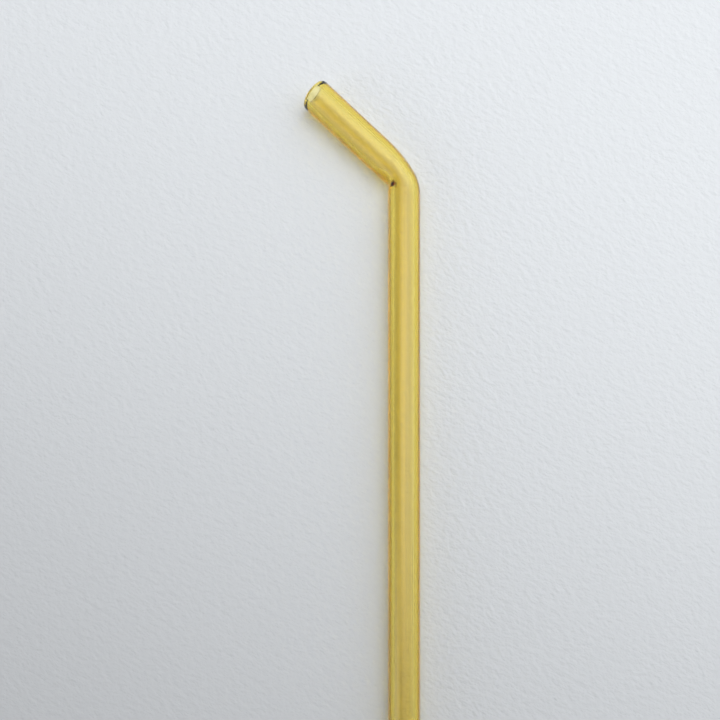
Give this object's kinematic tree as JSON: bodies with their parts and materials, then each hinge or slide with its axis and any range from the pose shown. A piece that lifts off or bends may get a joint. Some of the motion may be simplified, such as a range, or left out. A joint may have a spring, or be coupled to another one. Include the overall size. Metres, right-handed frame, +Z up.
{
  "type": "drinking straw",
  "caption": "Bent drinking straw of thick-walled transparent amber glass tube, with a long straight leg, a short angled mouth end and fire-polished rims.",
  "frame": {"origin": "centre of the straw's footprint as it lies flat, on the surface it rests on", "axes": "+Z up from the table, +Y along the long leg towards the bend, +X towards the outside of the bend; the mouth end leans to -X"},
  "size_m": [0.029, 0.1926, 0.008],
  "materials": {
    "amber_glass": "clear amber glass, smooth and glossy, fire-polished rims"
  },
  "bodies": {
    "root": {"straw": "amber_glass"}
  },
  "joints": []
}
